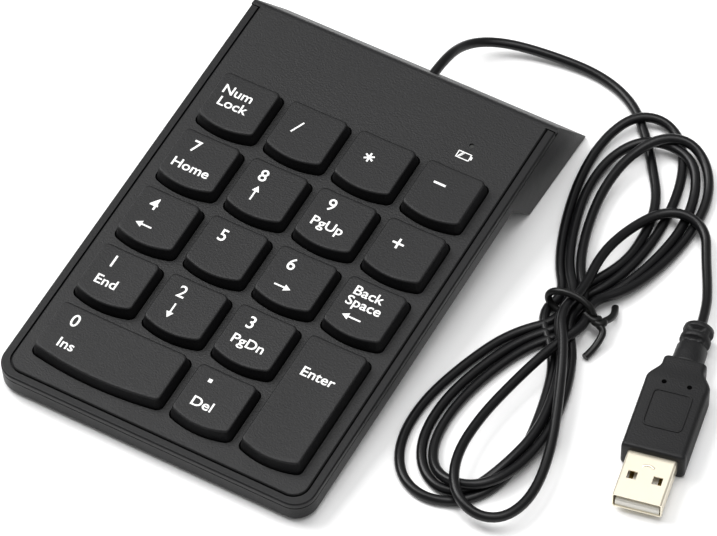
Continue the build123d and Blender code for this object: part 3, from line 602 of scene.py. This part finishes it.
def twist(side):
    """One of the two ends wound round each other, side 1 or -1."""
    return [
        (
            TWIST_X + TWIST_STEP * k + side * TWIST_R * cos(TWIST_TURN * k),
            TWIST_Y + side * TWIST_R * sin(TWIST_TURN * k), TWIST_Z - TWIST_DROP * k,
        )
        for k in range(6)
    ]


REAR_END = [(76.0, 19.8, 2.6), (75.6, 22.4, 1.6), (74.6, 24.4, 1.1)]
FRONT_END = [(76.6, 13.6, 2.6), (76.2, 10.0, 1.4), (75.4, 7.4, 1.1)]
TIE_STRANDS = {
    "tie_ring": (ring, True),
    "tie_end_rear": (twist(1) + REAR_END, False),
    "tie_end_front": (twist(-1) + FRONT_END, False),
}
tie_pieces = []
for name, (points, closed) in TIE_STRANDS.items():
    piece = strand(name, points, TIE_R, TIE, closed)
    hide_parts("cable_tie")
    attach(piece, "case")
    tie_pieces.append(piece)

# ---- plug, lying on the floor, heading 12 degrees off -Y ------------------------------------------
PLUG_TURN = radians(12)
PLUG_ORIGIN = Vector((98.7, 14.3, 3.9))
PLUG_AXIS = Vector((sin(PLUG_TURN), -cos(PLUG_TURN), 0))
PLUG_ACROSS = Vector((cos(PLUG_TURN), sin(PLUG_TURN), 0))
BODY_L, BODY_W, BODY_H, BODY_NECK = 29.0, 15.6, 7.8, 10.6
NECK_END, SHOULDER_END = 2.2, 7.2
BODY_EDGE_R, BODY_CORNER_R, RELIEF_STRETCH = 0.7, 1.3, 1.12
RIB_DEPTH, RIB_PITCH, RIB_START, RIB_END = 0.22, 0.35, 8.5, 27.5
SHELL_H = 4.5


def plug(along, across, up):
    """World point, in metres, of a point given in plug millimetres."""
    return (PLUG_ORIGIN + PLUG_AXIS * along + PLUG_ACROSS * across + Vector((0, 0, up))) * MM


def rounded_rectangle(half_u, half_v, r, segments):
    """Points round a rounded rectangle, each corner in a number of segments."""
    points = []
    for corner, (su, sv) in enumerate([(1, 1), (-1, 1), (-1, -1), (1, -1)]):
        for k in range(segments + 1):
            a = pi / 2 * (corner + k / segments)
            points.append((su * (half_u - r) + r * cos(a), sv * (half_v - r) + r * sin(a)))
    return points


def body_half_width(along):
    """Half width of the overmould: narrow neck, shoulders, then straight."""
    t = min(max((along - NECK_END) / (SHOULDER_END - NECK_END), 0), 1)
    return BODY_NECK / 2 + (BODY_W - BODY_NECK) / 2 * t * t * (3 - 2 * t)


def make_overmould():
    bm = bmesh.new()
    stations = [0.0, 0.1, 0.25, 0.5, 0.8, 1.6, 2.4, 3.2, 4.0, 4.8, 5.6, 6.3, 6.8]
    stations += [SHOULDER_END + RIB_PITCH * k for k in range(60)] + [28.2, 28.5, 28.75, 28.9, 29.0]
    rings = []
    for place in stations:
        end = min(place, BODY_L - place)
        short = BODY_EDGE_R - min(end, BODY_EDGE_R)
        inset = BODY_EDGE_R - sqrt(max(BODY_EDGE_R**2 - short**2, 0))
        in_groove = round((place - SHOULDER_END) / RIB_PITCH) % 2
        rib = RIB_DEPTH if RIB_START < place < RIB_END and in_groove else 0.0
        half_w = body_half_width(place) - inset - rib
        section = rounded_rectangle(half_w, BODY_H / 2 - inset, BODY_CORNER_R, 5)
        rings.append([plug(place, across, up) for across, up in section])
    loft_rings(bm, rings)
    return make_object("plug_overmould", bm, OVERMOULD)


def make_relief():
    """Strain relief: slotted rings and a collar. Rows give place, radius in slots, radius of webs."""
    profile = [
        (-12.5, 1.3, 1.3), (-12.5, 3.0, 3.0), (-12.2, 3.3, 3.3), (-11.2, 3.4, 3.4),
        (-10.9, 3.3, 3.4), (-10.8, 2.0, 3.4), (-9.3, 2.0, 3.4), (-9.2, 3.3, 3.4),
        (-9.0, 3.4, 3.4), (-8.0, 3.4, 3.4), (-7.8, 3.2, 3.3), (-7.7, 2.2, 2.9),
        (-6.2, 2.2, 2.9), (-6.1, 3.2, 3.2), (-5.8, 3.4, 3.4), (-2.0, 3.5, 3.5),
        (-0.5, 3.65, 3.65), (0.6, 3.8, 3.8),
    ]
    angles = np.linspace(0, 2 * pi, 49)[:-1]
    rings = []
    for place, slot, web in profile:
        radii = [web if abs(cos(2 * a)) < 0.5 else slot for a in angles]
        rings.append([
            plug(place, RELIEF_STRETCH * cos(a) * r, sin(a) * r) for a, r in zip(angles, radii)
        ])
    bm = bmesh.new()
    loft_rings(bm, rings)
    return make_object("plug_relief_sleeve", bm, OVERMOULD)


overmould, relief = make_overmould(), make_relief()
for piece, node in ((overmould, "plug_body"), (relief, "plug_relief")):
    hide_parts(node)
    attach(piece, "case")

# raised square outline, two moulded pits shown as near-black discs of painted shade, and the shell's
# formed bump
BADGE_MIDDLE, BADGE_HALF_L, BADGE_HALF_W, BADGE_R = 16.4, 5.5, 4.7, 1.3
PIT_PLACE, PIT_ACROSS, PIT_R, PIT_RIM_R = 8.3, 3.1, 0.62, 0.66
BUMP_PLACE, BUMP_STEP, BUMP_SAG, BUMP_R = 3.1, 0.45, 0.55, 0.36
badge = [
    tuple(plug(BADGE_MIDDLE + u, v, BODY_H / 2) / MM)
    for u, v in rounded_rectangle(BADGE_HALF_L, BADGE_HALF_W, BADGE_R, 4)
]
outline = strand("plug_badge_outline", badge, 0.26, OVERMOULD, closed=True)
# painted shade: a near-black, almost unreflective disc on the top surface stands in for the shadow
# inside each pit
PIT_SHADE = moulded("pit_painted_shade", (0.0005, 0.0005, 0.0005), 0.9, level=0.02)
pit_shades = []
for side, across in (("left", -PIT_ACROSS), ("right", PIT_ACROSS)):
    bm = bmesh.new()
    loft_rings(bm, [
        [plug(PIT_PLACE + x, across + y, up) for x, y in circle(r, 24)]
        for r, up in ((PIT_RIM_R, BODY_H / 2 - 0.1), (PIT_R, BODY_H / 2 + 0.015))
    ])
    pit_shades.append(make_object("plug_pit_shade_" + side, bm, PIT_SHADE))
bump = strand("shell_bump", [
    tuple(plug(BODY_L + BUMP_PLACE + BUMP_SAG * (k / 3) ** 2, BUMP_STEP * k, SHELL_H / 2 - 0.12) / MM)
    for k in range(-3, 4)
], BUMP_R, NICKEL)
details = [outline, bump] + pit_shades
for piece in details:
    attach(piece, "case")

on_cord = tie_pieces + details + [overmould, relief, "plug_shell", "plug_tongue"]
on_cord += [f"plug_contact_{n}" for n in range(1, 5)]
line = [Vector(p) for p in spline_weights(len(route), 8) @ route] + [Vector(route[-1])]

# ---- floor, light and camera --------------------------------------------------------------------
bm = bmesh.new()
bmesh.ops.create_grid(bm, x_segments=1, y_segments=1, size=3.0)
PAPER = moulded("floor_paper", (0.93, 0.93, 0.93), 0.7, grain=900, spread=0.01)
floor = make_object("floor", bm, PAPER)

world = bpy.data.worlds.new("studio")
world.use_nodes = True
world.node_tree.nodes["Background"].inputs["Color"].default_value = (1, 1, 1, 1)
world.node_tree.nodes["Background"].inputs["Strength"].default_value = 0.36
bpy.context.scene.world = world
bpy.context.scene.view_settings.view_transform = "Standard"


def softbox(name, place, size, power, target=(0.02, 0, 0)):
    light = bpy.data.lights.new(name, "AREA")
    light.shape, light.size, light.size_y, light.energy = "RECTANGLE", size[0], size[1], power
    holder = bpy.data.objects.new(name, light)
    holder.location = place
    holder.rotation_euler = (Vector(target) - Vector(place)).to_track_quat("-Z", "Y").to_euler()
    bpy.context.scene.collection.objects.link(holder)


softbox("key_light", (-1.15, 0.0, 1.35), (1.0, 1.2), 31)
softbox("overhead", (0.1, 0.15, 1.9), (1.2, 1.0), 19)
softbox("rear_card", (-0.75, 1.3, 2.0), (0.8, 0.8), 2.2)
softbox("fill_light", (0.9, -0.5, 1.6), (1.0, 1.0), 4)

AZIMUTH, ELEVATION, ROLL = radians(30.3), radians(50.84), radians(-0.624)
CAMERA_PLACE, LENS, SENSOR_W = (0.40904, -0.66972, 0.96019), 257.35, 36
camera_data = bpy.data.cameras.new("camera")
camera_data.lens, camera_data.sensor_width = LENS, SENSOR_W
camera_data.clip_start, camera_data.clip_end = 0.05, 20
camera = bpy.data.objects.new("camera", camera_data)
camera.location = CAMERA_PLACE
camera.rotation_euler = (
    Matrix.Rotation(AZIMUTH, 3, "Z") @ Matrix.Rotation(pi / 2 - ELEVATION, 3, "X")
    @ Matrix.Rotation(ROLL, 3, "Z")
).to_euler()
bpy.context.scene.collection.objects.link(camera)
bpy.context.scene.camera = camera
